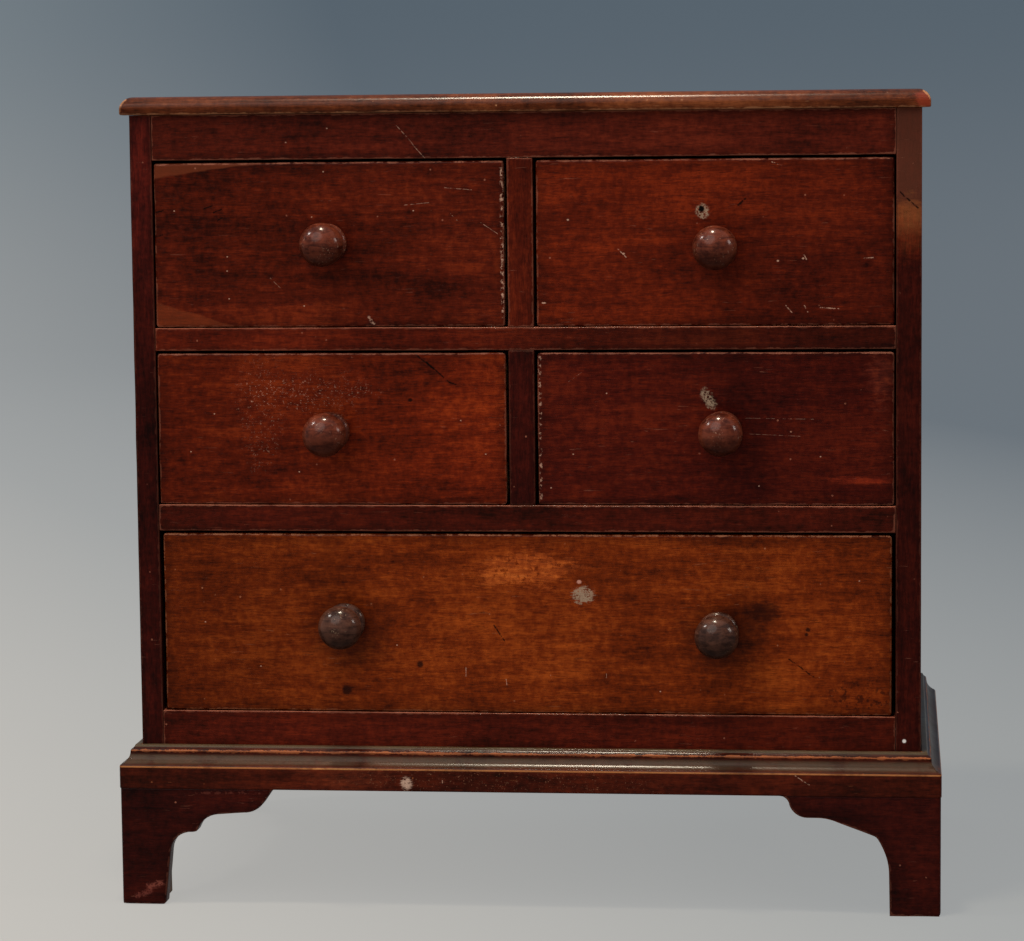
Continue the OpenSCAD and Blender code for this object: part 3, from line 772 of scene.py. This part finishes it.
def make_case():
    worn_board("top_board", top_wood, "x", 0.7, (12, 20, 20), 0.5, 1)
    worn_board("left_side", left_side_wood, "z", 0.7, (20, 30, 12), 0.4, 2)
    worn_board("right_side", right_side_wood, "z", 0.7, (20, 30, 12), 0.4, 3)
    worn_board("top_rail", top_rail_wood, "x", 0.4, (9, 20, 9), 0.3, 4)
    worn_board("upper_rail", case_wood, "x", 0.4, (9, 20, 9), 0.3, 5)
    worn_board("lower_rail", bottom_rail_wood, "x", 0.4, (9, 20, 9), 0.3, 6)
    worn_board("bottom_rail", bottom_rail_wood, "x", 0.4, (9, 20, 9), 0.3, 7)
    worn_board("upper_muntin", case_wood, "z", 0.4, (20, 20, 9), 0.3, 8)
    worn_board("lower_muntin", left_side_wood, "z", 0.4, (20, 20, 9), 0.3, 9)
    for i, node in enumerate(["back_board_upper", "back_board_lower"]):
        worn_board(node, back_pine, "x", 0.4, (40, 20, 40), 0.3, 10 + i)
    worn_board("bottom_board", inside, "x", 0.3, (40, 40, 20), 0.2, 12)
    strips = ["side_runners", "centre_runners", "drawer_guides", "kickers", "foot_blocks"]
    for i, node in enumerate(strips):
        worn_board(node, inside, "y", 0.3, (30, 30, 30), 0.2, 13 + i)
    NODES["back_nails"].data.materials.clear()
    NODES["back_nails"].data.materials.append(iron)


def make_base():
    front_corners = ((0, 1), 1.8, ((-1, -1), (1, -1)))
    left_corner = ((0, 1), 1.8, ((-1, -1),))
    right_corner = ((0, 1), 1.8, ((1, -1),))
    worn_board("plinth_front", plinth_wood, "x", 0.8, (7, 4, 4), 0.5, 20, 0, "both", front_corners)
    worn_board("plinth_left", plinth_wood, "y", 0.8, (4, 9, 4), 0.5, 21, 0, "both", left_corner)
    worn_board("plinth_right", plinth_wood, "y", 0.8, (4, 9, 4), 0.5, 22, 0, "both", right_corner)
    fronts = (("front_left_bracket", left_corner, "x"), ("front_right_bracket", right_corner, "x"),
              ("left_front_bracket", left_corner, "y"), ("right_front_bracket", right_corner, "y"))
    for i, (node, corner, grain) in enumerate(fronts):
        worn_board(node, foot_wood, grain, 1.2, (4, 4, 4), 0.5, 23 + i, 0, "high", corner)
    for i, node in enumerate(["left_rear_bracket", "right_rear_bracket"]):
        worn_board(node, foot_wood, "y", 0.9, (4, 4, 4), 0.5, 27 + i, 0, "high")
    for i, node in enumerate(["rear_left_bracket", "rear_right_bracket"]):
        worn_board(node, inside, "x", 0.5, (9, 9, 9), 0.3, 29 + i, 0, "high")


def make_drawers():
    all_corners = ((0, 2), 1.9, ((-1, -1), (1, -1), (-1, 1), (1, 1)))
    for i, name in enumerate(DRAWERS):
        drawer = name + "_drawer_"
        seed = 40 + 6 * i
        worn_board(drawer + "front", drawer_wood[name], "x", 1.0, (7, 20, 7), 0.6, seed, 1,
                   corners=all_corners)
        worn_board(drawer + "left_side", lining, "y", 0.4, (20, 30, 30), 0.2, seed + 1)
        worn_board(drawer + "right_side", lining, "y", 0.4, (20, 30, 30), 0.2, seed + 2)
        worn_board(drawer + "back", lining, "x", 0.4, (30, 20, 30), 0.2, seed + 3)
        worn_board(drawer + "floor", lining, "x", 0.2, (30, 30, 20), 0.1, seed + 4)


# ---- Knobs ----

# In millimetres and degrees: a knob's head is a flattened ball on a narrow neck and a wider foot
FLATTENED = 0.78
TENON_R = 4.0
NECK = [(6.4, 3.5), (5.6, 4.8), (5.5, 7.0)]
WIDEST_FOOT_R = 9.6
HEAD_FROM, HEAD_TO, HEAD_STEPS = -55, 90, 18
TURNED_STEPS = 64


def knob_profile(foot_r, head_r, reach):
    """(radius, distance out) pairs of a turned knob, from the tenon's shoulder to the crown."""
    points = [(foot_r - 0.6, 0.0), (foot_r - 0.1, 0.5), (foot_r, 1.3),
              (foot_r - 0.3, 2.2), (foot_r - 1.2, 2.9)] + NECK
    head_depth = FLATTENED * head_r
    for i in range(HEAD_STEPS):
        angle = math.radians(HEAD_FROM + (HEAD_TO - HEAD_FROM) * i / HEAD_STEPS)
        points.append((head_r * math.cos(angle), reach - head_depth + head_depth * math.sin(angle)))
    return points + [(0.0, reach)]


def make_knob(node, drawer, material):
    """A knob turned to the size of its CAD node, whose back sits on the drawer's face."""
    low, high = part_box(node)
    centre = (low + high) / 2
    face_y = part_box(drawer + "_drawer_front")[0].y
    head_r = (high.x - low.x) / 2 / MM
    tenon_end = (face_y - high.y) / MM
    tenon = [(0.0, tenon_end), (TENON_R, tenon_end), (TENON_R, 0.0)]
    profile = tenon + knob_profile(min(head_r, WIDEST_FOOT_R) - 0.6, head_r, (face_y - low.y) / MM)
    bm = bmesh.new()
    rings = []
    for radius, out in profile:
        count = 1 if radius == 0 else TURNED_STEPS
        angles = [math.tau * k / TURNED_STEPS for k in range(count)]
        rings.append([bm.verts.new((radius * math.cos(a), -out, radius * math.sin(a))) for a in angles])
    for a, b in zip(rings, rings[1:]):
        for k in range(TURNED_STEPS):
            corners = [a[k % len(a)], a[(k + 1) % len(a)], b[(k + 1) % len(b)], b[k % len(b)]]
            bm.faces.new(list(dict.fromkeys(corners)))
    bmesh.ops.recalc_face_normals(bm, faces=bm.faces)
    turn = [(math.atan2(v.co.z, v.co.x) * 5 * MM, v.co.y * MM, v.co.xz.length * MM) for v in bm.verts]
    for v in bm.verts:
        v.co = Vector((centre.x, face_y, centre.z)) + v.co * MM
    mesh = bpy.data.meshes.new(node + "_turning")
    bm.to_mesh(mesh)
    bm.free()
    mesh.shade_smooth()
    put_attribute(mesh, "turn", "FLOAT_VECTOR", turn)
    finish_piece(node + "_turning", mesh, material, node)


def make_knobs():
    for name in DRAWERS[:4]:
        make_knob(name + "_drawer_knob", name, short_knob_wood)
    for end in ("left", "right"):
        make_knob("bottom_drawer_" + end + "_knob", "bottom", long_knob_wood)


# ---- Stage and lights ----

def make_stage():
    """A pale floor that rises into a wall all round, open above, and glows with a painted falloff of
    light.
    """
    floor_r, rise, wall_top, steps, around = 3.2, 2.0, 4.5, 12, 96
    profile = [(0.0, 0.0), (floor_r / 2, 0.0), (floor_r, 0.0)]
    profile += [(floor_r + rise * math.sin(a), rise - rise * math.cos(a))
                for a in (math.radians(90 * i / steps) for i in range(1, steps + 1))]
    profile.append((floor_r + rise, wall_top))
    vertices = [(r * math.cos(math.tau * k / around), r * math.sin(math.tau * k / around), z)
                for r, z in profile for k in range(around)]
    faces = [(i * around + k, i * around + (k + 1) % around,
              (i + 1) * around + (k + 1) % around, (i + 1) * around + k)
             for i in range(len(profile) - 1) for k in range(around)]
    mesh = bpy.data.meshes.new("studio")
    mesh.from_pydata(vertices, [], faces)
    mesh.shade_smooth()
    studio = bpy.data.objects.new("studio", mesh)
    bpy.context.collection.objects.link(studio)
    s = Shader("studio_paper")
    across, back, height = s.parts(s.place)
    # Painted falloff of light: palest in front on the left, darker towards the right and the back
    away = s.math("ADD", s.math("MULTIPLY", across, 0.58), s.math("MULTIPLY", back, 0.28))
    colour = s.ramp(s.math("ADD", away, 0.23), [(0, rgb(186, 183, 178)), (0.3, rgb(156, 158, 158)),
                                                (1, rgb(104, 112, 119))])
    # Painted falloff of light: darker up the wall
    colour = s.mix(s.span(height, 0.0, 0.6), colour, (0.66, 0.74, 0.8, 1), "MULTIPLY")
    s.feed(s.surface.inputs["Base Color"], s.mix(1.0, colour, rgb(128, 128, 128), "MULTIPLY"))
    # The floor and wall glow with this painted gradient, like a light table, so that the shadow under the
    # chest stays pale
    s.feed(s.surface.inputs["Emission Color"], colour)
    s.surface.inputs["Emission Strength"].default_value = 0.95
    s.surface.inputs["Roughness"].default_value = 0.9
    s.surface.inputs["Specular IOR Level"].default_value = 0.1
    mesh.materials.append(s.material)


def soft_light(name, place, target, size, power, colour=(1, 1, 1)):
    data = bpy.data.lights.new(name, "AREA")
    data.shape = "DISK"
    data.size = size
    data.energy = power
    data.color = colour
    light = bpy.data.objects.new(name, data)
    light.location = place
    light.rotation_euler = (Vector(target) - Vector(place)).to_track_quat("-Z", "Y").to_euler()
    bpy.context.collection.objects.link(light)


def make_lights():
    """One very broad light from the front left, and three small ones that catch mouldings and knobs."""
    middle = (0, FRONT_Y, 0.2)
    soft_light("key", (-0.9, -2.1, 1.9), middle, 2.2, 21.5, (1.0, 0.96, 0.90))
    soft_light("overhead", (-0.11, -0.35, 1.7), middle, 0.2, 14, (1.0, 0.88, 0.68))
    soft_light("left", (-1.2, -0.4, 1.3), middle, 0.25, 5.5, (1.0, 0.94, 0.88))
    soft_light("right", (1.25, -0.4, 0.75), middle, 0.35, 3, (1.0, 0.92, 0.84))
    world = bpy.data.worlds.new("air")
    world.use_nodes = True
    world.node_tree.nodes["Background"].inputs[0].default_value = (0.92, 0.96, 1.0, 1)
    world.node_tree.nodes["Background"].inputs[1].default_value = 0.38
    bpy.context.scene.world = world
    bpy.context.scene.view_settings.view_transform = "Standard"


make_camera()
make_case()
make_base()
make_drawers()
make_knobs()
make_stage()
make_lights()
